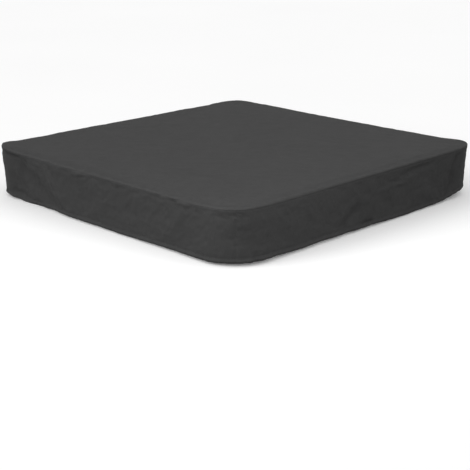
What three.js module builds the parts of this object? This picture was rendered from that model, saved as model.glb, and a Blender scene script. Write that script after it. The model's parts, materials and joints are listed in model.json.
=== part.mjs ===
// A square fabric cap that pulls down over the top of a hot tub, in millimetres, +Z up.
// The origin is the middle of the underside of the top panel, where the cap rests on the tub.
// -Y is the front, +X is the right.

import * as THREE from 'three';

// Driving dimensions
const CAP_WIDTH = 2100; // across the hem, outside
const CAP_DROP = 300; // from the top surface to the bottom of the hem
const RIM_RADIUS = 160; // corner in plan, where the skirt meets the top
const HEM_RADIUS = 220; // corner in plan at the hem, which the elastic draws in
const ROLL = 18; // radius of the top panel's edge, which turns down to the rim seam
const CLOTH = 2; // coated polyester cloth
const GAP = 0.3; // between pieces that are sewn together

const TAPE = 1.2; // thickness of the woven seam tapes
const ALLOWANCE = 1; // room under a tape for the turned edges that it binds
const RIM_TAPE_ABOVE = 3; // how far the rim tapes reach above the rim seam, and below it
const RIM_TAPE_BELOW = 15;
const CORNER_TAPE_WIDTH = 25;

const HEM_HEIGHT = 30; // height of the folded casing
const SEWN_HEIGHT = 9; // of that, the flat part sewn through the skirt
const ELASTIC_RADIUS = 2.5;
const SLEEVE_WALL = 1;
const SLEEVE_LENGTH = 24;
const ELASTIC_ENDS_APART = 1;

const LABEL = { width: 60, height: 40, thickness: 1, fromMiddle: 600 };

const CORNER_STEPS = 6; // facets in each half of a corner
const ROLL_STEPS = 4;

// Worked out from them
const SLEEVE_INNER_RADIUS = ELASTIC_RADIUS + GAP;
const SLEEVE_OUTER_RADIUS = SLEEVE_INNER_RADIUS + SLEEVE_WALL;
const TUNNEL_RADIUS = SLEEVE_OUTER_RADIUS + GAP;
const FOLD_RADIUS = TUNNEL_RADIUS + CLOTH;
const SKIRT_MIDDLE = CLOTH / 2; // how far the middle of the cloth is in from its outside
const HALF = CAP_WIDTH / 2 - (FOLD_RADIUS - SKIRT_MIDDLE); // centre to the outside of a skirt
const HEM_BOTTOM = CLOTH - CAP_DROP;
const HEM_TOP = HEM_BOTTOM + HEM_HEIGHT;
const ELASTIC_CENTRE = [SKIRT_MIDDLE, HEM_BOTTOM + FOLD_RADIUS]; // inset and height
const SKIRT_BOTTOM = ELASTIC_CENTRE[1] + TUNNEL_RADIUS + GAP;
const RIM_SEAM = CLOTH - ROLL;
const RIM_TAPE_BOTTOM = RIM_SEAM - RIM_TAPE_BELOW;
const TAPE_OUTSIDE = CLOTH + ALLOWANCE; // how far a tape is in from the outside of the skirt

// The sides, counter-clockwise from above. "outward" faces out, "along" runs with the hem.
const SIDES = [
  { name: 'front', outward: [0, -1], along: [1, 0] },
  { name: 'right', outward: [1, 0], along: [0, 1] },
  { name: 'back', outward: [0, 1], along: [-1, 0] },
  { name: 'left', outward: [-1, 0], along: [0, -1] },
];
const BACK = 2;
const cornerName = (side) => `${SIDES[side].name}_${SIDES[(side + 1) % SIDES.length].name}`;

// The outline of the cap in plan. A station is one place on it: how far along the straight part
// (-1 to 1), the angle turned into the corner, and a shift along the corner's arc.

const QUARTER = Math.PI / 2;
const station = (side, straight, angle = 0, shift = 0) => ({ side, straight, angle, shift });

function radiusAt(z) {
  return THREE.MathUtils.mapLinear(z, 0, HEM_BOTTOM, RIM_RADIUS, HEM_RADIUS);
}

// The point at a station that is `inset` inside the outer surface of the cloth, at height z.
function pointAt({ side, straight, angle, shift }, inset, z) {
  const { outward, along } = SIDES[side];
  const radius = radiusAt(z);
  const turn = angle + shift / radius;
  const u = straight * (HALF - radius) + (radius - inset) * Math.sin(turn);
  const w = HALF - radius + (radius - inset) * Math.cos(turn);
  return new THREE.Vector3(along[0] * u + outward[0] * w, along[1] * u + outward[1] * w, z);
}

// The stations of one side, from the middle of one corner to the middle of the next.
function sideStations(side, endGap = 0) {
  const stations = [];
  for (const end of [-1, 1]) {
    for (let step = 0; step <= CORNER_STEPS; step++) {
      const turned = end < 0 ? CORNER_STEPS - step : step;
      const shift = turned === CORNER_STEPS ? -end * endGap : 0;
      stations.push(station(side, end, (end * turned * QUARTER) / 2 / CORNER_STEPS, shift));
    }
  }
  return stations;
}

// The stations of the whole closed loop.
function loopStations() {
  return SIDES.flatMap((_, side) => sideStations(side).slice(1));
}

// The stations of the loop when it is open by `opening` in the middle of the back.
function openLoopStations(opening) {
  const toEnd = opening / 2 / (HALF - HEM_RADIUS);
  const backStart = sideStations(BACK).slice(0, CORNER_STEPS + 1);
  const backEnd = sideStations(BACK).slice(CORNER_STEPS + 1);
  const others = [3, 0, 1].flatMap((side) => sideStations(side).slice(1));
  return [station(BACK, toEnd), ...backEnd, ...others, ...backStart.slice(1), station(BACK, -toEnd)];
}

// The stations of a narrow strip over the seam in the middle of a corner.
function cornerStations(side, width) {
  return [-width / 2, 0, width / 2].map((shift) => station(side, 1, QUARTER / 2, shift));
}

// A closed solid: a skin over rings of points, with its first and last ring filled in. Seen from
// the last ring, each ring runs counter-clockwise, and so does the flat outline of the two ends.
function skin(rings, endOutline) {
  const count = endOutline.length;
  const triangles = [];
  for (let ring = 0; ring < rings.length - 1; ring++) {
    for (let i = 0; i < count; i++) {
      const a = ring * count + i;
      const b = ring * count + ((i + 1) % count);
      triangles.push(a, b, b + count);
      triangles.push(a, b + count, a + count);
    }
  }
  const last = (rings.length - 1) * count;
  for (const [a, b, c] of THREE.ShapeUtils.triangulateShape(endOutline, [])) {
    triangles.push(a, c, b);
    triangles.push(last + a, last + b, last + c);
  }
  const positions = rings.flat().flatMap((point) => point.toArray());
  const geometry = new THREE.BufferGeometry();
  geometry.setAttribute('position', new THREE.Float32BufferAttribute(positions, 3));
  geometry.setIndex(triangles);
  geometry.computeVertexNormals();
  return geometry;
}

// A strip: a section, given as [inset, z] points, carried from station to station.
function strip(stations, section) {
  const rings = stations.map((place) => section.map(([inset, z]) => pointAt(place, inset, z)));
  return skin(rings, section.map(([inset, z]) => new THREE.Vector2(inset, z)));
}

// A panel: the cap's outline at each [inset, z] of a profile, from its underside to its top.
function panel(profile) {
  const stations = loopStations();
  const rings = profile.map(([inset, z]) => stations.map((place) => pointAt(place, inset, z)));
  return skin(rings, rings[0].map(({ x, y }) => new THREE.Vector2(x, y)));
}

// Points on an arc in the [inset, z] plane, 0 being towards the inside of the cap.
function arc(centre, radius, from, to, steps) {
  return Array.from({ length: steps + 1 }, (_, i) => {
    const angle = from + ((to - from) * i) / steps;
    return [centre[0] + radius * Math.cos(angle), centre[1] + radius * Math.sin(angle)];
  });
}

function rectangle(insetFrom, insetTo, zFrom, zTo) {
  return [[insetFrom, zFrom], [insetTo, zFrom], [insetTo, zTo], [insetFrom, zTo]];
}

// Materials
function material(color, roughness) {
  return new THREE.MeshStandardMaterial({ color, roughness, metalness: 0 });
}
const cloth = () => material(0x3b3c3e, 0.85);
const tape = () => material(0x1d1d1f, 0.8);
const rubber = () => material(0x141414, 0.6);
const label = () => material(0xd9d8d4, 0.75);

const cap = new THREE.Group();

function addPiece(name, geometry, pieceMaterial) {
  const mesh = new THREE.Mesh(geometry, pieceMaterial);
  mesh.name = name;
  cap.add(mesh);
  return mesh;
}

// Top panel: one piece of cloth, flat on the tub, with its edge rolled down to the rim seam
function topPanel() {
  const rollCentre = [ROLL, RIM_SEAM];
  const inside = arc(rollCentre, ROLL - CLOTH, QUARTER, 2 * QUARTER, ROLL_STEPS);
  const outside = arc(rollCentre, ROLL, 2 * QUARTER, QUARTER, ROLL_STEPS);
  addPiece('top_panel', panel([...inside, ...outside]), cloth());
}

// Skirt panels: one for each side, sewn to the next in the middle of each corner
function skirtPanel(side) {
  const section = rectangle(0, CLOTH, SKIRT_BOTTOM, RIM_SEAM - GAP);
  addPiece(`skirt_${SIDES[side].name}`, strip(sideStations(side, GAP / 2), section), cloth());
}

// Rim tapes: they bind the seam between the top and each skirt, on the inside
function rimTape(side) {
  const top = RIM_SEAM + RIM_TAPE_ABOVE;
  const section = rectangle(TAPE_OUTSIDE, TAPE_OUTSIDE + TAPE, RIM_TAPE_BOTTOM, top);
  addPiece(`rim_tape_${SIDES[side].name}`, strip(sideStations(side, GAP / 2), section), tape());
}

// Corner tapes: they bind the upright seam in each corner, on the inside
function cornerTape(side) {
  const section = rectangle(TAPE_OUTSIDE, TAPE_OUTSIDE + TAPE, HEM_TOP + GAP, RIM_TAPE_BOTTOM - GAP);
  const stations = cornerStations(side, CORNER_TAPE_WIDTH);
  addPiece(`corner_tape_${cornerName(side)}`, strip(stations, section), tape());
}

// Hem casings: a strip folded up on both sides of the skirt's edge, with the elastic in the fold
function hemCasing(side) {
  const sewn = SKIRT_MIDDLE + GAP; // from the middle of the skirt to the inner face of each leg
  const sewnFrom = HEM_TOP - SEWN_HEIGHT;
  const section = [
    [SKIRT_MIDDLE - sewn - CLOTH, HEM_TOP],
    [SKIRT_MIDDLE - sewn - CLOTH, sewnFrom],
    ...arc(ELASTIC_CENTRE, FOLD_RADIUS, 2 * QUARTER, 4 * QUARTER, 8),
    [SKIRT_MIDDLE + sewn + CLOTH, sewnFrom],
    [SKIRT_MIDDLE + sewn + CLOTH, HEM_TOP],
    [SKIRT_MIDDLE + sewn, HEM_TOP],
    [SKIRT_MIDDLE + sewn, sewnFrom],
    ...arc(ELASTIC_CENTRE, TUNNEL_RADIUS, 4 * QUARTER, 2 * QUARTER, 6),
    [SKIRT_MIDDLE - sewn, sewnFrom],
    [SKIRT_MIDDLE - sewn, HEM_TOP],
  ];
  addPiece(`hem_casing_${SIDES[side].name}`, strip(sideStations(side, GAP / 2), section), cloth());
}

// Hem elastic: one round cord all the way round, with its ends together in a sleeve at the back
function hemElastic() {
  const section = arc(ELASTIC_CENTRE, ELASTIC_RADIUS, 0, 4 * QUARTER, 8).slice(0, -1);
  addPiece('hem_elastic', strip(openLoopStations(ELASTIC_ENDS_APART), section), rubber());
}

function elasticSleeve() {
  const ring = new THREE.Shape();
  ring.absarc(0, 0, SLEEVE_OUTER_RADIUS, 0, 2 * Math.PI);
  const bore = new THREE.Path();
  bore.absarc(0, 0, SLEEVE_INNER_RADIUS, 0, 2 * Math.PI);
  ring.holes.push(bore);
  const options = { depth: SLEEVE_LENGTH, bevelEnabled: false, curveSegments: 12 };
  const geometry = new THREE.ExtrudeGeometry(ring, options);
  geometry.translate(0, 0, -SLEEVE_LENGTH / 2);
  const sleeve = addPiece('elastic_sleeve', geometry, rubber());
  sleeve.rotation.y = QUARTER;
  sleeve.position.set(0, HALF - ELASTIC_CENTRE[0], ELASTIC_CENTRE[1]);
}

// Care label: a blank woven tag sewn flat to the inside of the back skirt, above the hem
function careLabel() {
  const geometry = new THREE.BoxGeometry(LABEL.width, LABEL.thickness, LABEL.height);
  const tag = addPiece('care_label', geometry, label());
  const inside = HALF - CLOTH - GAP - LABEL.thickness / 2;
  tag.position.set(LABEL.fromMiddle, inside, HEM_TOP + GAP + LABEL.height / 2);
}

topPanel();
for (let side = 0; side < SIDES.length; side++) {
  skirtPanel(side);
  rimTape(side);
  cornerTape(side);
  hemCasing(side);
}
hemElastic();
elasticSleeve();
careLabel();

export default cap;
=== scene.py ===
"""A charcoal fabric cap for a square hot tub: its cloth, seams, hem and studio."""
import json
import math

import bpy
import numpy as np
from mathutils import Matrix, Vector


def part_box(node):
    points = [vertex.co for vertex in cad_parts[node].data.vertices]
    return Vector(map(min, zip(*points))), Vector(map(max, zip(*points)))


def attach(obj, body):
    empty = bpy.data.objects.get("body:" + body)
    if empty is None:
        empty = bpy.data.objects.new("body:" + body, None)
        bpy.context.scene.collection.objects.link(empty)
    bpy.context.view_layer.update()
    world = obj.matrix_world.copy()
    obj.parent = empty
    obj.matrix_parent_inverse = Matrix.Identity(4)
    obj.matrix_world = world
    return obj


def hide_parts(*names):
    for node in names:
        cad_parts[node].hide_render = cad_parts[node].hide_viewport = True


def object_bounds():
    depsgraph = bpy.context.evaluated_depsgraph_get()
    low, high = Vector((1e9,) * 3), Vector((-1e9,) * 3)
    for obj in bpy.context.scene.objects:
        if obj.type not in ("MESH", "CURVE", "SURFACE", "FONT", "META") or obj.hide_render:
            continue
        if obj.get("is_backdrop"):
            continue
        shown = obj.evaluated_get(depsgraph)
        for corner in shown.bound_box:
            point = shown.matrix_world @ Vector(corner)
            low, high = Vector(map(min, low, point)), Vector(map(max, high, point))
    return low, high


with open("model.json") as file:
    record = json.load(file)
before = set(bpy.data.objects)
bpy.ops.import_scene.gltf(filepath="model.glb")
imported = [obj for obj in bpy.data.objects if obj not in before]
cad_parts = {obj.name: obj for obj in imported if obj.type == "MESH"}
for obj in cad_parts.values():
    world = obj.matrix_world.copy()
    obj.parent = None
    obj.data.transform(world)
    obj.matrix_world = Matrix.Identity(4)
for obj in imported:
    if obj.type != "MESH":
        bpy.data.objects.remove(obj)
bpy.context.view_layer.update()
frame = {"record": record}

# Sizes, in metres, from the frame
SIDES = ("front", "right", "back", "left")
CORNERS = ("front_right", "right_back", "back_left", "left_front")
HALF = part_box("top_panel")[1][0]  # from the middle to the outside of a skirt
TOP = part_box("top_panel")[1][2]
RIM_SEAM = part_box("top_panel")[0][2]
HEM_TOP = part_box("hem_casing_front")[1][2]
HEM_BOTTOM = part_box("hem_casing_front")[0][2]
HEM_HEIGHT = HEM_TOP - HEM_BOTTOM
SKIRT_HEIGHT = RIM_SEAM - HEM_BOTTOM
ROLL = TOP - RIM_SEAM  # radius of the top panel's rolled edge

# Corner radii in plan. A panel ends in the middle of a corner, 45 degrees round its arc. The
# rim's corner is tighter than the hem's, and most of the change comes just under the rim, where
# the skirt falls away from the top panel's pointed corner.
AT_45 = 1 - math.cos(math.pi / 4)
RIM_RADIUS = (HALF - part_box("skirt_front")[1][0]) / AT_45
HEM_RADIUS = (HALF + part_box("skirt_front")[1][1]) / AT_45
UNDER_RIM_RADIUS = 0.7 * RIM_RADIUS + 0.3 * HEM_RADIUS
FALL_AWAY = 0.14  # how far below the rim that change ends

# Sizes that are usual for such a cap, and how its rim hangs
CLOTH = 0.0014
WEAVE = 0.0009  # from one thread of the cloth to the next
ALLOWANCE = 1.8 * CLOTH  # how far a panel's edge turns in at a seam
THREAD = 0.00035
STITCH_PITCH = 0.0055
STITCHES_APART = 0.006  # from a seam to the row of stitches beside it
RIM_DROOP = 0.006  # how far the rim hangs between its corners
SOFT_DROOP = 0.006  # how far a soft rim slopes down before it rolls over

# How soft the rim is along each side, and how pointed at each corner
SIDE_SOFTNESS = (1.6, 0.15, 0.5, 0.6)
CORNER_POINTS = (0.1, 1.0, 0.4, 1.0)

# Heights of the cloth's own unevenness: metres from its plain shape
BILLOW = 0.004
BROAD_CREASES = 0.0024
FINE_CREASES = 0.0018
CRUMPLES = 0.0006
PUCKERS = 0.0016  # below the rim seam
GATHERS = 0.0006  # above the hem, on the straight sides
CORNER_GATHERS = 0.0046  # and how much more in the corners
GROOVE = 0.0008  # along the seams
HEM_WAVER = 0.002  # up and down
TOP_WAVES = 0.0024
TOP_BROAD_CREASES = 0.0018
TOP_FINE_CREASES = 0.0008
TOP_SAG = 0.003  # in the middle of the top

# How finely the cloth is made
PER_SIDE = 300  # columns from the middle of one corner to the middle of the next
CORNER_SHARE = 0.125  # share of them in the half corner at each end
CORNER_EASE = 1.4  # how much closer together they are towards the corner's seam
SKIRT_ROWS = 60
ROLL_RINGS = 12
BAND_RINGS = 12
BAND = 0.06  # the top's outer border, whose rings stay parallel to the rim

STRAIGHT = HALF - RIM_RADIUS  # half of a side's straight part, at the rim
ARC = STRAIGHT + RIM_RADIUS * math.pi / 4  # rim length from mid side to mid corner
ROUND = 8 * ARC  # rim length all the way round


# Smooth noise, seeded, that closes on itself round the cap

LATTICE = 512  # cells before it repeats where it isn't closed


def smoothstep(x, low, high):
    """0 below low, 1 above high, and an eased slope between."""
    t = np.clip((x - low) / (high - low), 0, 1)
    return t * t * (3 - 2 * t)


def noise(u, v, cell_u, cell_v, seed, period=None):
    """Value noise from -1 to 1 on a lattice of cell_u by cell_v metres, closed after period in u."""
    count = LATTICE if period is None else max(4, round(period / cell_u))
    step = cell_u if period is None else period / count
    lattice = np.random.default_rng(seed).uniform(-1, 1, (count, LATTICE))
    x, y = u / step, v / cell_v
    i, j = np.floor(x).astype(int), np.floor(y).astype(int)
    a, b = x - i, y - j
    a, b = a * a * (3 - 2 * a), b * b * (3 - 2 * b)
    here, right = i % count, (i + 1) % count
    low, high = j % LATTICE, (j + 1) % LATTICE
    near = lattice[here, low] * (1 - a) + lattice[right, low] * a
    far = lattice[here, high] * (1 - a) + lattice[right, high] * a
    return near * (1 - b) + far * b


def facets(u, v, cell, seed, period=None):
    """Soft facets that meet in faint creases at all angles, mostly from -1 to 0.5."""
    bent_u = u + 0.25 * cell * noise(u, v, cell * 1.5, cell * 1.5, seed, period)
    bent_v = v + 0.25 * cell * noise(u, v, cell * 1.5, cell * 1.5, seed + 1, period)
    total = 0
    for turn, (lean, size) in enumerate(((0.6, 1.0), (-0.8, 0.7), (0.1, 0.5))):
        wave = noise(bent_u + lean * bent_v, bent_v, cell * size, cell * size, seed + 2 + turn, period)
        total = total + (0.6 - 2 * np.sqrt(wave * wave + 0.01)) * size
    return total / 1.5


# Places on the cap's outline. Each is a distance round the rim, from the middle of the front.


def side_distances(side, share):
    """Distances for shares (0 to 1) of the way along a side, closer together in its corners."""
    share = np.asarray(share, float)
    from_end = np.minimum(share, 1 - share)
    in_corner = np.clip(from_end / CORNER_SHARE, 0, 1)
    in_straight = np.clip((from_end - CORNER_SHARE) / (0.5 - CORNER_SHARE), 0, 1)
    from_seam = (ARC - STRAIGHT) * in_corner**CORNER_EASE + STRAIGHT * in_straight
    return 2 * side * ARC + np.where(share < 0.5, from_seam - ARC, ARC - from_seam)


def plan(distance, radius, inset):
    """x and y of places on the outline with that corner radius, moved in by inset."""
    side = np.round(distance / (2 * ARC))
    local = distance - 2 * side * ARC
    straight = np.clip(local / STRAIGHT, -1, 1)
    angle = (local - straight * STRAIGHT) / RIM_RADIUS
    along = straight * (HALF - radius) + (radius - inset) * np.sin(angle)
    out = HALF - radius + (radius - inset) * np.cos(angle)
    turn = side * math.pi / 2
    return (
        along * np.cos(turn) + out * np.sin(turn),
        along * np.sin(turn) - out * np.cos(turn),
    )


def corner_radius(z):
    """Radius of the skirt's corners in plan at height z."""
    drop = RIM_SEAM - z
    early = (UNDER_RIM_RADIUS - RIM_RADIUS) * smoothstep(drop, 0, FALL_AWAY)
    late = (HEM_RADIUS - UNDER_RIM_RADIUS) * np.clip(drop / SKIRT_HEIGHT, 0, 1)
    return RIM_RADIUS + early + late


def from_place(distance, side, place_along):
    """Distance past a place on a side, from minus half way round the cap to plus half way."""
    middle = 2 * SIDES.index(side) * ARC + place_along
    return (distance - middle + ROUND / 2) % ROUND - ROUND / 2


def from_corner(distance):
    """Distance to the nearest corner's middle, where its seam is."""
    past = (distance - ARC) % (2 * ARC)
    return np.minimum(past, 2 * ARC - past)


def corner_nearness(distance):
    """1 in the middle of a corner, 0 on the straight sides."""
    return 1 - smoothstep(from_corner(distance), 0.06, 0.26)


def softness(distance):
    """How soft the rim is, from one side's value to the next one's round each corner."""
    place = distance / (2 * ARC)
    side = np.floor(place).astype(int)
    values = np.array(SIDE_SOFTNESS)
    share = smoothstep(place - side, 0.38, 0.62)
    return values[side % 4] * (1 - share) + values[(side + 1) % 4] * share


def corner_point(distance):
    """How pointed the rim is: up to its corner's value within a few centimetres of its seam."""
    corner = np.floor(distance / (2 * ARC)).astype(int) % 4
    return np.array(CORNER_POINTS)[corner] * np.exp(-((from_corner(distance) / 0.07) ** 2))


# Folds: each is a soft ridge, or a valley where its height is negative, along a line on a side.
# Places are metres from the middle of the side and metres above the hem.


class Fold:
    """A soft ridge from start to end, which bend bows to one side in its middle."""

    def __init__(self, side, start, end, width, height, bend=0.0):
        self.side = side
        self.start = start
        self.end = end
        self.width = width
        self.height = height
        self.bend = bend

    def push(self, distance, above):
        """How far out the fold moves each point of the cloth."""
        run = self.end[0] - self.start[0]
        rise = self.end[1] - self.start[1]
        length = math.hypot(run, rise)
        x = from_place(distance, self.side, 0) - self.start[0]
        y = above - self.start[1]
        t = (x * run + y * rise) / length**2
        off = (y * run - x * rise) / length
        off = off - self.bend * 4 * np.clip(t, 0, 1) * (1 - np.clip(t, 0, 1))
        fade = smoothstep(t, -0.15, 0.25) * (1 - smoothstep(t, 0.7, 1.15))
        return self.height * fade * np.exp(-((off / self.width) ** 2))


FRONT_FOLDS = [
    Fold("front", (-0.85, 0.285), (-0.39, 0.00), 0.048, -0.026, bend=-0.028),
    Fold("front", (-0.86, 0.14), (-0.50, -0.10), 0.095, -0.024),
    Fold("front", (-ARC, 0.24), (-ARC, -0.04), 0.075, 0.010),
    Fold("front", (-0.88, 0.30), (-0.86, -0.06), 0.060, -0.012),
    Fold("front", (-0.50, 0.25), (-0.38, 0.04), 0.026, 0.010, bend=0.004),
    Fold("front", (-0.47, 0.265), (-0.41, 0.17), 0.014, -0.004),
    Fold("front", (-0.88, 0.265), (-0.64, 0.225), 0.012, -0.003),
    Fold("front", (-0.66, 0.262), (-0.52, 0.235), 0.012, 0.003),
    Fold("front", (-0.82, 0.20), (-0.80, 0.10), 0.020, 0.005),
    Fold("front", (-0.92, 0.045), (-0.74, 0.025), 0.018, -0.010),
    Fold("front", (-0.72, 0.09), (-0.60, 0.02), 0.016, 0.004),
    Fold("front", (0.70, 0.25), (0.54, 0.03), 0.050, 0.006),
    Fold("front", (0.80, 0.10), (0.60, 0.02), 0.040, -0.005),
    Fold("front", (0.10, 0.17), (-0.12, 0.04), 0.050, 0.004),
    Fold("front", (0.15, 0.12), (0.40, 0.16), 0.030, -0.003),
    Fold("front", (0.88, 0.250), (0.98, 0.236), 0.009, -0.002),
    Fold("front", (0.96, 0.262), (1.08, 0.246), 0.008, -0.002),
]
RIGHT_FOLDS = [
    Fold("right", (-0.25, 0.030), (-0.09, 0.125), 0.028, -0.013, bend=0.012),
    Fold("right", (-0.30, 0.09), (-0.12, 0.175), 0.022, 0.004),
    Fold("right", (-0.08, 0.022), (0.04, 0.018), 0.014, -0.009),
    Fold("right", (0.05, 0.180), (0.17, 0.188), 0.012, 0.003),
    Fold("right", (-0.16, 0.205), (0.02, 0.175), 0.012, -0.002),
    Fold("right", (0.14, 0.225), (0.28, 0.210), 0.012, -0.005),
    Fold("right", (0.18, 0.195), (0.36, 0.186), 0.012, 0.004),
    Fold("right", (0.26, 0.240), (0.60, 0.258), 0.022, -0.007),
    Fold("right", (0.34, 0.216), (0.60, 0.226), 0.014, 0.002),
    Fold("right", (0.10, 0.13), (0.26, 0.04), 0.030, -0.004),
    Fold("right", (0.45, 0.18), (0.66, 0.03), 0.050, 0.005),
    Fold("right", (0.83, 0.27), (0.81, 0.00), 0.024, -0.018),
    Fold("right", (ARC, 0.20), (ARC, -0.04), 0.075, 0.009),
    Fold("right", (0.74, 0.11), (0.80, 0.00), 0.018, -0.005),
    Fold("right", (0.66, 0.06), (0.72, 0.00), 0.014, 0.004),
]


def scattered_folds(side, seed):
    """Folds that fall from both corners of a side towards its hem, with a few small ones."""
    random = np.random.default_rng(seed)
    folds = []
    for end in (-1, 1):
        for _ in range(3):
            start = end * random.uniform(0.80, 0.96)
            reach = start - end * random.uniform(0.15, 0.5)
            width, height = random.uniform(0.022, 0.04), random.uniform(0.004, 0.010)
            folds.append(Fold(side, (start, 0.27), (reach, 0.02), width, height))
    for _ in range(5):
        x, y = random.uniform(-0.7, 0.7), random.uniform(0.05, 0.22)
        run, rise = random.uniform(0.08, 0.2), random.uniform(-0.05, 0.05)
        folds.append(Fold(side, (x, y), (x + run, y + rise), 0.015, 0.003))
    return folds


FOLDS = [*FRONT_FOLDS, *RIGHT_FOLDS, *scattered_folds("back", 5), *scattered_folds("left", 9)]


def seam_groove(from_seam):
    """A seam draws the cloth in along its line."""
    return -GROOVE * np.exp(-((from_seam / 0.004) ** 2))


def skirt_push(distance, above):
    """How far the cloth stands out from its plain shape, round the rim and above the hem.

    Past the rim seam, `above` goes on over the rolled edge, and the push fades out there.
    """
    below_seam = SKIRT_HEIGHT - above
    warped = distance + 0.012 * noise(distance, above, 0.12, 0.09, 41, ROUND)
    warped_up = above + 0.008 * noise(distance, above, 0.10, 0.08, 42, ROUND)
    push = sum(fold.push(warped, warped_up) for fold in FOLDS)
    billow = np.sin(np.clip(above / SKIRT_HEIGHT, 0, 1) * math.pi)
    push = push + BILLOW * billow * noise(distance, above, 0.35, 0.3, 11, ROUND)
    push = push + BROAD_CREASES * facets(distance, above, 0.13, 51, ROUND)
    push = push + FINE_CREASES * facets(distance, above, 0.06, 61, ROUND)
    push = push + CRUMPLES * noise(distance, above, 0.022, 0.016, 91, ROUND)
    push = push * smoothstep(below_seam, -0.004, 0.03)
    pucker = noise(distance + 0.8 * below_seam, above, 0.055, 0.024, 14, ROUND)
    pucker = pucker + 0.6 * noise(distance - 0.5 * below_seam, above, 0.026, 0.015, 17, ROUND)
    pucker = pucker * (0.15 + softness(distance)) * (1 + noise(distance, above, 0.13, 0.1, 16, ROUND))
    push = push + PUCKERS * pucker * np.exp(-(((below_seam - 0.008) / 0.045) ** 2))
    gather = GATHERS + CORNER_GATHERS * corner_nearness(distance)
    gather = gather * np.exp(-np.clip(above, 0, None) / 0.05)
    push = push + gather * noise(distance, above, 0.019, 0.12, 15, ROUND)
    past_seam = np.clip(-below_seam, 0, None)
    return (push + seam_groove(from_corner(distance))) * (1 - smoothstep(past_seam, 0.03, 0.08))


# Where the rim and the hem ride up, or down: side, place along it, reach and height
RIM_RISES = [
    ("front", -0.80, 0.25, 0.003),
    ("back", 0.72, 0.28, 0.007),
]
HEM_RISES = [
    ("front", 0.10, 0.60, -0.007),
    ("front", -0.70, 0.20, -0.010),
    ("right", -0.86, 0.16, 0.008),
    ("right", 0.38, 0.30, -0.010),
    ("right", ARC, 0.16, 0.030),
    ("back", -0.30, 0.40, -0.006),
    ("back", ARC, 0.20, 0.010),
    ("left", 0.20, 0.35, -0.006),
]


def height_of(rises, distance):
    """The height of all the rises in a list, at those distances."""
    total = 0 * distance
    for side, place_along, reach, height in rises:
        away = from_place(distance, side, place_along)
        total = total + height * np.exp(-((away / reach) ** 2))
    return total


def rim_droop(distance):
    """How far the rim is below its plain height."""
    return RIM_DROOP * (1 - corner_nearness(distance)) - height_of(RIM_RISES, distance)


def hem_rise(distance):
    """How far the hem is above its plain height."""
    waver = noise(distance, 0 * distance, 0.14, 1.0, 21, ROUND)
    return height_of(HEM_RISES, distance) + HEM_WAVER * waver


def skirt_lift(distance, above):
    """How far the cloth is above its plain height: the rim and the hem aren't quite level."""
    hem = 1 - smoothstep(above, 0, 0.25)
    rim = smoothstep(above, 0.1, SKIRT_HEIGHT)
    return hem * hem_rise(distance) - rim * rim_droop(distance)


def place(distance, out, z):
    """Points of the skirt, `out` metres outside its cloth, at height z."""
    above = z - HEM_BOTTOM
    x, y = plan(distance, corner_radius(z), -(out + skirt_push(distance, above)))
    return np.stack([x, y, z + skirt_lift(distance, above)], axis=-1)


def top_wave(x, y):
    """Height of the top panel's slow waves and faint creases, its two long creases and its sag."""
    u, v = x + 9, y + 9  # which part of the noise the top gets
    wave = TOP_WAVES * noise(u, v, 0.45, 0.45, 31)
    wave = wave + TOP_BROAD_CREASES * facets(u, v, 0.16, 71)
    wave = wave + TOP_FINE_CREASES * facets(u, v, 0.07, 81)
    front_to_back = 0.0007 * np.exp(-(((x + 0.12 * y) / 0.030) ** 2))
    side_to_side = 0.0006 * np.exp(-(((y - 0.08 * x - 0.38) / 0.025) ** 2))
    sag = TOP_SAG * np.cos(x * 1.4) * np.cos(y * 1.4)
    return wave - (front_to_back + side_to_side) - sag


def roll_point(distance, turn):
    """Points of the top panel's edge: turn is 0 where the flat top ends and 1 at the seam."""
    soft = softness(distance) * (1 - corner_point(distance))
    power = 2 / (2.9 - 0.7 * soft + 2.5 * corner_point(distance))
    sideways = np.sin(np.clip(turn, 0, 1) * math.pi / 2) ** power
    upwards = np.cos(np.clip(turn, 0, 1) * math.pi / 2) ** power
    past_seam = (1 - turn) * ROLL * math.pi / 2
    push = skirt_push(distance, SKIRT_HEIGHT + past_seam)
    groove = seam_groove(past_seam)
    x, y = plan(distance, RIM_RADIUS, ROLL * (1 - sideways) - (push + groove) * sideways)
    height = ROLL - SOFT_DROOP * soft + top_wave(x, y) + push
    return np.stack([x, y, RIM_SEAM + height * upwards - rim_droop(distance)], axis=-1)


# Meshes


def grid_faces(rows, columns):
    """Quads between the points of a grid, taken row by row."""
    index = np.arange(rows * columns).reshape(rows, columns)
    corners = (index[:-1, :-1], index[:-1, 1:], index[1:, 1:], index[1:, :-1])
    return np.stack(corners, axis=-1).reshape(-1, 4)


def make_piece(name, points, faces, material, uv=None, wear=0.0):
    """A piece from points and quads. uv is each point's place on the flat cloth, in metres."""
    mesh = bpy.data.meshes.new(name)
    mesh.from_pydata(points.reshape(-1, 3).tolist(), [], faces.tolist())
    if uv is not None:
        layer = mesh.uv_layers.new(name="cloth")
        layer.data.foreach_set("uv", uv.reshape(-1, 2)[faces.ravel()].ravel())
    worn = mesh.attributes.new("wear", "FLOAT", "POINT")
    worn.data.foreach_set("value", np.broadcast_to(wear, points.shape[:-1]).ravel())
    mesh.polygons.foreach_set("use_smooth", np.ones(len(faces), bool))
    mesh.materials.append(material)
    piece = bpy.data.objects.new(name, mesh)
    bpy.context.collection.objects.link(piece)
    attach(piece, "root")
    return piece


def thicken(piece, thickness):
    """Gives a sheet its thickness, on its inner side."""
    solid = piece.modifiers.new("thickness", "SOLIDIFY")
    solid.thickness = thickness
    solid.offset = -1


# Materials


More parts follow.
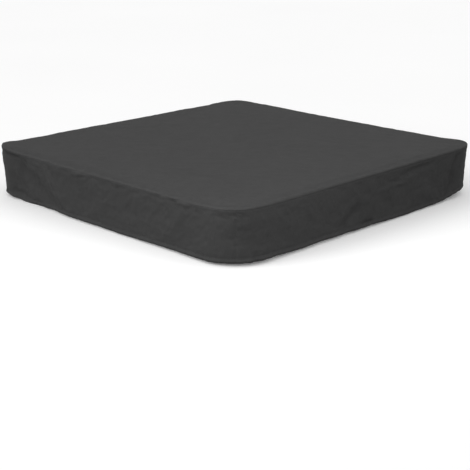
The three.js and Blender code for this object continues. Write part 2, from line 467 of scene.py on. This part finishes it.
def node(tree, kind, **settings):
    """A new node. Each setting is the value of the input of that name, or else an attribute."""
    made = tree.nodes.new(kind)
    for name, value in settings.items():
        if name in made.inputs:
            made.inputs[name].default_value = value
        else:
            setattr(made, name, value)
    return made


def new_material(name, roughness):
    """A material, its node tree and its shader."""
    material = bpy.data.materials.new(name)
    material.use_nodes = True
    shader = material.node_tree.nodes["Principled BSDF"]
    shader.inputs["Roughness"].default_value = roughness
    return material, material.node_tree, shader


def maths(tree, operation, first, second=0.0):
    """A Math node's output, from a socket and a second socket or number."""
    made = node(tree, "ShaderNodeMath", operation=operation)
    tree.links.new(first, made.inputs[0])
    if isinstance(second, (int, float)):
        made.inputs[1].default_value = second
    else:
        tree.links.new(second, made.inputs[1])
    return made.outputs[0]


def weave_height(tree, coordinates, pitch):
    """Over-and-under threads: two crossed waves, each on top in every other square."""
    split = node(tree, "ShaderNodeSeparateXYZ")
    tree.links.new(coordinates, split.inputs[0])
    scaled = [maths(tree, "MULTIPLY", split.outputs[axis], math.pi / pitch) for axis in (0, 1)]
    waves = [maths(tree, "SINE", wave) for wave in scaled]
    return maths(tree, "MULTIPLY", *waves)


def thread_tone(tree, weave):
    """The weave's height, from -1 to 1, as a faint tone about a half."""
    return maths(tree, "ADD", maths(tree, "MULTIPLY", weave, 0.25), 0.5)


def object_space(tree):
    return node(tree, "ShaderNodeTexCoord").outputs["Object"]


def flat_cloth(tree):
    """Each point's place on the flat cloth, in metres."""
    return node(tree, "ShaderNodeUVMap", uv_map="cloth").outputs["UV"]


def clouds(tree, coordinates, scale, stretch=(1, 1, 1)):
    """Noise from 0 to 1, finer with a larger scale, drawn out along an axis by stretch."""
    mapping = node(tree, "ShaderNodeMapping")
    mapping.inputs["Scale"].default_value = [scale / length for length in stretch]
    tree.links.new(coordinates, mapping.inputs["Vector"])
    made = node(tree, "ShaderNodeTexNoise", Scale=1.0, Detail=4.0)
    tree.links.new(mapping.outputs["Vector"], made.inputs["Vector"])
    return made.outputs["Fac"]


def mottled(tree, shader, colour, spread, layers):
    """Base colour that goes from darker to lighter with the mean of the layers, 0 to 1 each."""
    total = layers[0]
    for layer in layers[1:]:
        total = maths(tree, "ADD", total, layer)
    stretch = node(tree, "ShaderNodeMapRange")
    stretch.inputs["From Min"].default_value = 0.25 * len(layers)
    stretch.inputs["From Max"].default_value = 0.75 * len(layers)
    tree.links.new(total, stretch.inputs["Value"])
    ramp = node(tree, "ShaderNodeValToRGB")
    tree.links.new(stretch.outputs[0], ramp.inputs["Fac"])
    for element, change in zip(ramp.color_ramp.elements, (1 - spread, 1 + spread)):
        element.color = (*(channel * change for channel in colour), 1)
    tree.links.new(ramp.outputs["Color"], shader.inputs["Base Color"])
    return ramp.outputs["Color"], stretch.outputs[0]


def bump(tree, shader, height, strength, distance, under=None):
    """Adds a height to the shader's normal, over an earlier bump's normal."""
    made = node(tree, "ShaderNodeBump", Strength=strength, Distance=distance)
    tree.links.new(height, made.inputs["Height"])
    if under is not None:
        tree.links.new(under, made.inputs["Normal"])
    tree.links.new(made.outputs["Normal"], shader.inputs["Normal"])
    return made.outputs["Normal"]


def worn_edges(tree, shader, colour_socket, space, colour, rub):
    """Lightens the colour along the edges marked with the wear attribute, in patches."""
    marked = node(tree, "ShaderNodeAttribute", attribute_name="wear").outputs["Fac"]
    patches = clouds(tree, space, 35)
    amount = maths(tree, "MULTIPLY", maths(tree, "MULTIPLY", marked, patches), rub)
    mix = node(tree, "ShaderNodeMix", data_type="RGBA")
    tree.links.new(amount, mix.inputs["Factor"])
    # This node's colours are its inputs 6 and 7 and its output 2
    tree.links.new(colour_socket, mix.inputs[6])
    mix.inputs[7].default_value = (*(channel * 2.2 for channel in colour), 1)
    tree.links.new(mix.outputs[2], shader.inputs["Base Color"])


def roughness_range(tree, shader, tone, low, high):
    """Roughness that follows the tone, from low to high."""
    rough = node(tree, "ShaderNodeMapRange")
    rough.inputs["To Min"].default_value = low
    rough.inputs["To Max"].default_value = high
    tree.links.new(tone, rough.inputs["Value"])
    tree.links.new(rough.outputs[0], shader.inputs["Roughness"])


SLOTS = {entry["slot"]: entry for entry in frame["record"]["materials"]}


def cloth_material():
    """Coated polyester: a fine plain weave with slubs, matte, uneven in tone, rubbed at its edges."""
    grey = sum(SLOTS["cover_cloth"]["base_color"]) / 3
    colour = (grey, grey, grey)
    material, tree, shader = new_material("cover_cloth", 0.85)
    shader.inputs["Sheen Weight"].default_value = 0.03
    shader.inputs["Sheen Roughness"].default_value = 0.5
    shader.inputs["Sheen Tint"].default_value = (0.41, 0.41, 0.41, 1)
    shader.inputs["Specular IOR Level"].default_value = 0.10
    flat, space = flat_cloth(tree), object_space(tree)
    weave = weave_height(tree, flat, WEAVE)
    patches = [clouds(tree, space, scale) for scale in (2.5, 14, 70)]
    slubs = [clouds(tree, flat, 900, stretch) for stretch in ((30, 1, 1), (1, 30, 1))]
    layers = [*patches, *slubs, thread_tone(tree, weave)]
    base, tone = mottled(tree, shader, colour, 0.30, layers)
    worn_edges(tree, shader, base, space, colour, 0.22)
    roughness_range(tree, shader, tone, 0.78, 0.92)
    woven = bump(tree, shader, weave, 0.6, 0.0004)
    slubbed = bump(tree, shader, maths(tree, "ADD", *slubs), 0.4, 0.0004, woven)
    bump(tree, shader, clouds(tree, space, 45), 0.45, 0.0012, slubbed)
    return material


def woven_material(slot, roughness, pitch, sheen):
    """A plain woven tape, tag or braid."""
    material, tree, shader = new_material(slot, roughness)
    shader.inputs["Sheen Weight"].default_value = sheen
    space = object_space(tree)
    weave = weave_height(tree, flat_cloth(tree), pitch)
    layers = [clouds(tree, space, 30), clouds(tree, space, 400), thread_tone(tree, weave)]
    tone = mottled(tree, shader, SLOTS[slot]["base_color"], 0.25, layers)[1]
    roughness_range(tree, shader, tone, roughness - 0.05, roughness + 0.08)
    bump(tree, shader, weave, 0.5, 0.0004)
    return material


THREAD_COLOUR = (0.034, 0.035, 0.037)


def thread_material():
    """Spun polyester sewing thread, twisted, in a tone between the cloth's and the tape's."""
    material, tree, shader = new_material("thread", 0.6)
    space = object_space(tree)
    strands = clouds(tree, space, 900)
    tone = mottled(tree, shader, THREAD_COLOUR, 0.25, [clouds(tree, space, 60), strands])[1]
    roughness_range(tree, shader, tone, 0.5, 0.7)
    bump(tree, shader, strands, 0.4, 0.0002)
    return material


def sleeve_material():
    """Shrunk plastic sleeve, satin, with faint drag marks."""
    material, tree, shader = new_material("sleeve", 0.4)
    space = object_space(tree)
    marks = clouds(tree, space, 300, stretch=(6, 1, 1))
    colour = SLOTS["sleeve"]["base_color"]
    tone = mottled(tree, shader, colour, 0.15, [clouds(tree, space, 80), marks])[1]
    roughness_range(tree, shader, tone, 0.33, 0.5)
    bump(tree, shader, marks, 0.2, 0.0002)
    return material


CLOTH_LOOK = cloth_material()
TAPE_LOOK = woven_material("seam_tape", roughness=0.8, pitch=0.0012, sheen=0.1)
ELASTIC_LOOK = woven_material("elastic", roughness=0.7, pitch=0.0015, sheen=0.1)
LABEL_LOOK = woven_material("label", roughness=0.6, pitch=0.0005, sheen=0.2)
THREAD_LOOK = thread_material()
SLEEVE_LOOK = sleeve_material()


# Top panel: rings of a square grid, drawn to the rim's rounded outline and rolled at the edge


def ring_profile(rings):
    """For each ring: its share of the inner outline, its share of the band, and of the roll."""
    inner = rings - BAND_RINGS - ROLL_RINGS
    ring = np.arange(rings + 1)
    share = np.clip(ring / inner, 0, 1)
    in_band = np.clip((ring - inner) / BAND_RINGS, 0, 1)
    turn = np.clip((ring - inner - BAND_RINGS) / ROLL_RINGS, 0, 1)
    return share, in_band, turn


def top_panel():
    """The flat top, its border and its rolled edge, as one sheet of cloth."""
    rings = PER_SIDE // 2
    steps = np.arange(-rings, rings + 1)
    i, j = np.meshgrid(steps, steps, indexing="ij")
    ring = np.maximum(np.abs(i), np.abs(j))
    side = np.select([j == -ring, i == ring, j == ring], [0, 1, 2], 3)
    along = np.select([side == 0, side == 1, side == 2], [i, j, -i], -j)
    distance = side_distances(side, (along / np.maximum(ring, 1) + 1) / 2)
    share, in_band, turn = (profile[ring] for profile in ring_profile(rings))
    x, y = plan(distance, RIM_RADIUS, BAND + (ROLL - BAND) * in_band)
    x, y = x * share, y * share
    soft = softness(distance) * (1 - corner_point(distance))
    past_seam = ROLL * math.pi / 2 + (BAND - ROLL) * (1 - in_band)
    z = TOP + top_wave(x, y) - rim_droop(distance) * smoothstep(share + in_band, 0.75, 2)
    z = z - SOFT_DROOP * soft * in_band**2 + skirt_push(distance, SKIRT_HEIGHT + past_seam)
    flat = np.stack([x, y, z], axis=-1)
    points = np.where((turn > 0)[..., None], roll_point(distance, turn), flat)
    wear = np.exp(-(((turn - 0.5) / 0.3) ** 2))
    faces = grid_faces(*ring.shape)[:, ::-1]
    piece = make_piece(
        "top_cloth", points, faces, CLOTH_LOOK, points[..., :2], wear
    )
    thicken(piece, CLOTH)
    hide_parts("top_panel")


# Skirts, hem casings and tapes: strips that follow the rim, each row at its own height


def strip(
    name, distances, outs, heights, look, replaced, thickness,
    insets=0.0, wear=0.0,
):
    """A sheet with a row for each pair of an out and a height, along those distances.

    There can be an inset for each distance, and a wear for each row. Its flat size is its run
    along the plain rim, with the edges turned in, by its run down the section.
    """
    insets = np.broadcast_to(insets, distances.shape)
    wear = np.broadcast_to(wear, heights.shape)[:, None]
    z, distance = np.meshgrid(heights, distances, indexing="ij")
    out = np.meshgrid(outs, distances, indexing="ij")[0] - insets
    points = place(distance, out, z)
    run = np.concatenate([[0], np.hypot(np.diff(outs), np.diff(heights)).cumsum()])
    uv = np.stack([distance, np.meshgrid(run, distances, indexing="ij")[0]], axis=-1)
    faces = grid_faces(*z.shape)[:, ::-1]
    piece = make_piece(name, points, faces, look, uv, wear)
    thicken(piece, thickness)
    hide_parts(replaced)


def side_columns(index):
    """Distances along a whole side, from the middle of one corner to the middle of the next."""
    return side_distances(index, np.linspace(0, 1, PER_SIDE + 1))


def skirt_panel(index):
    """A side's cloth, from the rim seam down into the hem's casing, its seam edges turned in."""
    share = np.linspace(0, 1, SKIRT_ROWS)
    eased = share - 0.07 * np.sin(2 * math.pi * share)  # closer together near the rim and the hem
    heights = RIM_SEAM + (HEM_TOP - HEM_HEIGHT / 3 - RIM_SEAM) * eased
    outs = seam_groove(RIM_SEAM - heights)
    outs = outs - 0.6 * CLOTH * smoothstep(HEM_TOP + 0.003 - heights, 0, 0.004)
    wear = 0.6 * np.exp(-(((RIM_SEAM - heights) / 0.006) ** 2))
    outs = np.concatenate([[outs[0] - ALLOWANCE], outs])
    heights = np.concatenate([heights[:1], heights])
    columns = side_columns(index)
    columns = np.concatenate([columns[:1], columns, columns[-1:]])
    insets = np.zeros(len(columns))
    insets[[0, -1]] = ALLOWANCE
    name = SIDES[index]
    strip(
        f"{name}_skirt_cloth", columns, outs, heights, CLOTH_LOOK,
        f"skirt_{name}", CLOTH, insets=insets, wear=np.concatenate([[0], wear]),
    )


def rounded(points, times):
    """A polyline with its corners cut off again and again."""
    points = np.array(points, float)
    for _ in range(times):
        near = points[:-1] * 0.75 + points[1:] * 0.25
        far = points[:-1] * 0.25 + points[1:] * 0.75
        middle = np.stack([near, far], axis=1).reshape(-1, 2)
        points = np.concatenate([points[:1], middle, points[-1:]])
    return points


# The casing's section: how far out of the skirt's plain shape, and how far up its own height
HEM_STITCHES = 0.84  # how far up its height the stitches are
CASING_OUTSIDE = [
    (0.0006, 1.00), (0.0014, 0.96), (0.0010, HEM_STITCHES), (0.0020, 0.70),
    (0.0062, 0.44), (0.0044, 0.16), (-0.0012, 0.00),
]
CASING_INSIDE = [
    (-0.0055, 0.01), (-0.0090, 0.22), (-0.0080, 0.50), (-0.0050, HEM_STITCHES), (-0.0056, 0.98),
]
CASING_SECTION = rounded(CASING_OUTSIDE + CASING_INSIDE, times=2)


def casing_out(share):
    """How far out the casing's outside is at that share of its height."""
    outer = CASING_SECTION[: CASING_SECTION[:, 1].argmin()]
    return float(np.interp(-share, -outer[:, 1], outer[:, 0]))


def hem_casing(index):
    """A side's hem strip, folded round the elastic and sewn through the skirt's lower edge."""
    name = SIDES[index]
    outs, shares = CASING_SECTION.T
    strip(
        f"{name}_hem_cloth", side_columns(index), outs, HEM_BOTTOM + shares * HEM_HEIGHT,
        CLOTH_LOOK, f"hem_casing_{name}", CLOTH,
        wear=np.exp(-(((shares - 0.05) / 0.12) ** 2)),
    )


def rim_tape(index):
    """The tape inside a side's rim seam."""
    name = f"rim_tape_{SIDES[index]}"
    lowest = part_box(name)[0][2]
    heights = np.linspace(RIM_SEAM - 2 * CLOTH, lowest, 7)
    outs = np.full(heights.shape, -3.2 * CLOTH)
    columns = side_columns(index)[::2]
    strip(f"{name}_woven", columns, outs, heights, TAPE_LOOK, name, CLOTH / 2)


def corner_tape(index):
    """The tape inside a corner's upright seam."""
    name = f"corner_tape_{CORNERS[index]}"
    low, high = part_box(name)
    width = math.hypot(high[0] - low[0], high[1] - low[1]) / 2
    seam = (2 * index + 1) * ARC
    distances = seam + np.linspace(-width / 2, width / 2, 13)
    heights = np.linspace(high[2], low[2], SKIRT_ROWS)
    outs = np.full(heights.shape, -2.2 * CLOTH)
    strip(f"{name}_woven", distances, outs, heights, TAPE_LOOK, name, CLOTH / 2)


# Hem elastic and its sleeve: tubes through the middle of the casing

ELASTIC_RADIUS = (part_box("hem_elastic")[1][2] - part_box("hem_elastic")[0][2]) / 2
ELASTIC_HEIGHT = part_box("hem_elastic")[0][2] + ELASTIC_RADIUS
ELASTIC_OUT = -0.0021  # how far out of the skirt's plain shape
CLOSED = 0.00001  # radius of a tube's closed end, and how near its points are to be welded
TUBE_SIDES = 12


def tube(name, distances, radii, material, replaced):
    """A closed tube along the hem, with a radius at each of those distances."""
    turn = np.linspace(0, 2 * math.pi, TUBE_SIDES + 1)
    turn, distance = np.meshgrid(turn, distances, indexing="ij")
    radius = np.broadcast_to(radii, turn.shape)
    points = place(
        distance, ELASTIC_OUT + radius * np.cos(turn), ELASTIC_HEIGHT + radius * np.sin(turn)
    )
    uv = np.stack([distance, turn * ELASTIC_RADIUS], axis=-1)
    piece = make_piece(name, points, grid_faces(*turn.shape), material, uv)
    weld = piece.modifiers.new("weld", "WELD")
    weld.merge_threshold = CLOSED
    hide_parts(replaced)


def hem_elastic():
    """The cord all the way round, its two ends together in the middle of the back."""
    back = 4 * ARC
    distances = np.linspace(back, back + ROUND, 901)
    radii = np.full(distances.shape, ELASTIC_RADIUS)
    radii[[0, -1]] = CLOSED
    tube("hem_elastic_cord", distances, radii, ELASTIC_LOOK, "hem_elastic")


def elastic_sleeve():
    """A sleeve shrunk over the cord's ends, pinched a little along its length."""
    low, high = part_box("elastic_sleeve")
    reach = (high[0] - low[0]) / 2
    radius = (high[2] - low[2]) / 2
    share = np.linspace(-1, 1, 33)
    pinch = 1 - 0.06 * np.cos(share * 3 * math.pi) ** 2
    ends = np.sqrt(np.clip(1 - np.abs(share) ** 12, 0, 1))
    radii = ELASTIC_RADIUS + (radius - ELASTIC_RADIUS) * pinch * ends
    distances = 4 * ARC + share * reach
    tube("elastic_sleeve_shrunk", distances, radii, SLEEVE_LOOK, "elastic_sleeve")


# Care label: a blank tag, sewn along its lower edge and curling a little off the cloth


def care_label():
    low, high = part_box("care_label")
    middle = 4 * ARC - (low[0] + high[0]) / 2
    reach = (high[0] - low[0]) / 2
    distances = middle + np.linspace(-reach, reach, 33)
    heights = np.linspace(high[2], low[2], 21)
    curl = np.linspace(1, 0, len(heights)) ** 2
    outs = -2.5 * CLOTH - 0.004 * curl
    strip("care_label_tag", distances, outs, heights, LABEL_LOOK, "care_label", CLOTH / 3)


# Stitches: short threads that dip into the cloth at both ends


def stitches(name, centres, tangents, normals):
    """A stitch at each centre: four square rings along it, joined and closed at both ends."""
    count = len(centres)
    across = np.cross(tangents, normals)
    reach = STITCH_PITCH * 0.36  # half of a stitch's length
    rings = [(-1.0, 0.3, -0.6), (-0.6, 1.0, 0.5), (0.6, 1.0, 0.5), (1.0, 0.3, -0.6)]
    corners = [(1, 0), (0, 1), (-1, 0), (0, -1)]
    points = np.empty((count, len(rings), len(corners), 3))
    for r, (along, thick, rise) in enumerate(rings):
        for c, (side, up) in enumerate(corners):
            points[:, r, c] = (
                centres
                + tangents * (along * reach)
                + across * (side * thick * THREAD)
                + normals * ((up * thick + rise) * THREAD)
            )
    per_stitch = len(rings) * len(corners)
    local = np.arange(per_stitch).reshape(len(rings), len(corners))
    following = np.roll(local, -1, axis=1)
    quads = np.stack([local[:-1], local[1:], following[1:], following[:-1]], axis=-1).reshape(-1, 4)
    quads = np.concatenate([quads, local[:1], local[-1:, ::-1]])
    faces = (quads[None] + per_stitch * np.arange(count)[:, None, None]).reshape(-1, 4)
    make_piece(name, points, faces, THREAD_LOOK)


def level_stitches(name, index, out, z):
    """A row of stitches along a side, at one height."""
    count = round(2 * ARC / STITCH_PITCH)
    distance = 2 * index * ARC - ARC + (np.arange(count) + 0.5) * 2 * ARC / count
    height = np.full(distance.shape, z)
    small = STITCH_PITCH / 10
    centres = place(distance, out, height)
    tangents = place(distance + small, out, height) - place(distance - small, out, height)
    normals = place(distance, out + small, height) - centres
    stitches(name, centres, unit(tangents), unit(normals))


def upright_stitches(name, distance, z_from, z_to):
    """A row of stitches down the skirt, beside a corner's seam."""
    count = round((z_from - z_to) / STITCH_PITCH)
    height = z_from + (np.arange(count) + 0.5) * (z_to - z_from) / count
    distance = np.full(height.shape, distance)
    small = STITCH_PITCH / 10
    centres = place(distance, 0, height)
    tangents = place(distance, 0, height + small) - place(distance, 0, height - small)
    normals = place(distance, small, height) - centres
    stitches(name, centres, unit(tangents), unit(normals))


def unit(vectors):
    return vectors / np.linalg.norm(vectors, axis=-1, keepdims=True)


top_panel()
for index, name in enumerate(SIDES):
    skirt_panel(index)
    hem_casing(index)
    rim_tape(index)
    corner_tape(index)
    level_stitches(f"{name}_rim_stitches", index, 0.0, RIM_SEAM - STITCHES_APART)
    hem_row = HEM_BOTTOM + HEM_STITCHES * HEM_HEIGHT
    level_stitches(f"{name}_hem_stitches", index, casing_out(HEM_STITCHES), hem_row)
    beside_seam = (2 * index + 1) * ARC - STITCHES_APART
    highest, lowest = RIM_SEAM - 0.008, HEM_TOP + 0.006
    upright_stitches(f"{CORNERS[index]}_stitches", beside_seam, highest, lowest)
hem_elastic()
elastic_sleeve()
care_label()


# Studio

FLOOR_GAP = 0.001  # from the hem's lowest point
FLOOR_REACH = 40  # from its middle to its edges


def floor():
    """A white floor that reaches past what the camera sees."""
    material, tree, shader = new_material("floor", 0.9)
    space = object_space(tree)
    mottled(tree, shader, (0.95, 0.95, 0.95), 0.01, [clouds(tree, space, 0.5)])
    shader.inputs["Specular IOR Level"].default_value = 0.0
    shader.inputs["Emission Color"].default_value = (1, 1, 1, 1)
    shader.inputs["Emission Strength"].default_value = 0.10
    signs = ((-1, -1), (1, -1), (1, 1), (-1, 1))
    points = [(x * FLOOR_REACH, y * FLOOR_REACH, 0) for x, y in signs]
    mesh = bpy.data.meshes.new("floor")
    mesh.from_pydata(points, [], [(0, 1, 2, 3)])
    mesh.materials.append(material)
    ground = bpy.data.objects.new("floor", mesh)
    ground.location.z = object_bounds()[0][2] - FLOOR_GAP
    bpy.context.collection.objects.link(ground)
    ground.visible_diffuse = False  # so that its bounce doesn't flatten the cloth's folds
    ground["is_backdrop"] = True


def aimed(azimuth, elevation):
    """Direction to a light or camera. Azimuth 0 is in front, 90 on the right."""
    a, e = math.radians(azimuth), math.radians(elevation)
    return Vector((math.sin(a) * math.cos(e), -math.cos(a) * math.cos(e), math.sin(e)))


def light(name, kind, azimuth, elevation, distance, power):
    """A lamp at that distance, facing the middle of the cap."""
    lamp = bpy.data.lights.new(name, kind)
    lamp.energy = power
    item = bpy.data.objects.new(name, lamp)
    way = aimed(azimuth, elevation)
    item.location = way * distance
    item.rotation_euler = way.to_track_quat("Z", "Y").to_euler()
    bpy.context.collection.objects.link(item)
    return lamp


SUN_DISTANCE = 8  # out of the way: a sun's light is the same from anywhere


def sun(name, azimuth, elevation, spread, power):
    """Even soft light over the cap and the floor."""
    light(name, "SUN", azimuth, elevation, SUN_DISTANCE, power).angle = math.radians(spread)


def softbox(name, azimuth, elevation, distance, size, power):
    """Soft light that falls off across the cap."""
    lamp = light(name, "AREA", azimuth, elevation, distance, power)
    lamp.shape = "DISK"
    lamp.size = size


SKY_EDGE = -0.08  # sine of the angle down to the sky's end, a little below the floor's far edge


def sky(strength):
    """Even white light from the floor's far edge upwards, and none from below it."""
    world = bpy.data.worlds.new("studio")
    world.use_nodes = True
    tree = world.node_tree
    background = tree.nodes["Background"]
    background.inputs["Color"].default_value = (1, 1, 1, 1)
    split = node(tree, "ShaderNodeSeparateXYZ")
    tree.links.new(node(tree, "ShaderNodeTexCoord").outputs["Generated"], split.inputs[0])
    above = maths(tree, "GREATER_THAN", split.outputs[2], SKY_EDGE)
    tree.links.new(maths(tree, "MULTIPLY", above, strength), background.inputs["Strength"])
    bpy.context.scene.world = world


# Angles are in degrees, the lens and the sensor in millimetres, distances in metres
CAMERA_AZIMUTH = 44.85
CAMERA_ELEVATION = 17.74
CAMERA_ROLL = -0.12
CAMERA_DISTANCE = 6.61
CAMERA_LENS = 81.2
CAMERA_SENSOR = 36
AIM_BELOW_HEM = 0.289


def camera():
    data = bpy.data.cameras.new("camera")
    data.lens = CAMERA_LENS
    data.sensor_width = CAMERA_SENSOR
    item = bpy.data.objects.new("camera", data)
    back = aimed(CAMERA_AZIMUTH, CAMERA_ELEVATION)
    aim = Vector((0, 0, HEM_BOTTOM - AIM_BELOW_HEM))
    item.location = aim + back * CAMERA_DISTANCE
    turn = back.to_track_quat("Z", "Y").to_euler()
    turn.rotate_axis("Z", math.radians(CAMERA_ROLL))
    item.rotation_euler = turn
    bpy.context.collection.objects.link(item)
    bpy.context.scene.camera = item


floor()
sky(0.76)
sun("key", azimuth=-30, elevation=22, spread=40, power=1.10)
sun("back light", azimuth=225, elevation=25, spread=40, power=0.10)
softbox("front fill", azimuth=15, elevation=18, distance=3.2, size=1.4, power=13.5)
softbox("corner fill", azimuth=60, elevation=12, distance=2.9, size=1.2, power=13)
softbox("right fill", azimuth=95, elevation=22, distance=3.2, size=1.4, power=2.5)
camera()
bpy.context.scene.view_settings.view_transform = "Standard"
